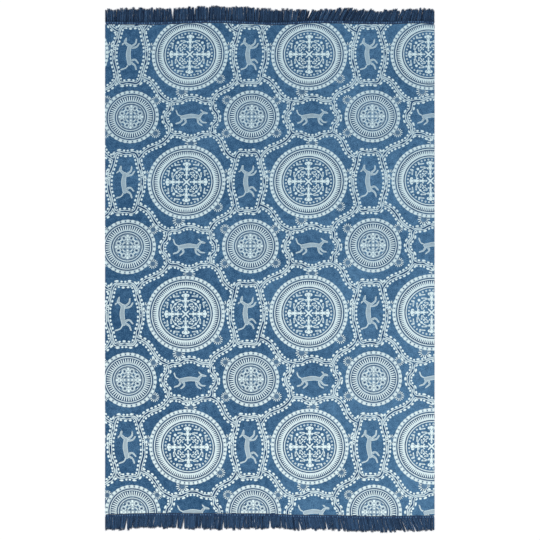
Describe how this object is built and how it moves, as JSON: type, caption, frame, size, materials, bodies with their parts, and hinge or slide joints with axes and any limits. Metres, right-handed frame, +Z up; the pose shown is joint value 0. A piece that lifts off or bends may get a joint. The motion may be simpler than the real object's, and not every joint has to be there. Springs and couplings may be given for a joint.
{
  "type": "kilim rug",
  "caption": "Flat printed cotton kilim rug with a dense cut fringe sewn along each short end.",
  "frame": {"origin": "middle of the rug's outer box, at the underside where it rests", "axes": "+Y along the rug's length, towards the fringe called top; +X across its width; +Z up, out of the printed face"},
  "size_m": [1.2, 1.9182, 0.0034],
  "materials": {
    "printed_cotton": "matt flat-woven cotton, indigo blue with a pale printed pattern",
    "fringe_yarn": "dull navy cotton yarn, cut ends"
  },
  "bodies": {
    "root": {"rug_cloth": "printed_cotton", "fringe_top": "fringe_yarn", "fringe_bottom": "fringe_yarn"}
  },
  "joints": []
}
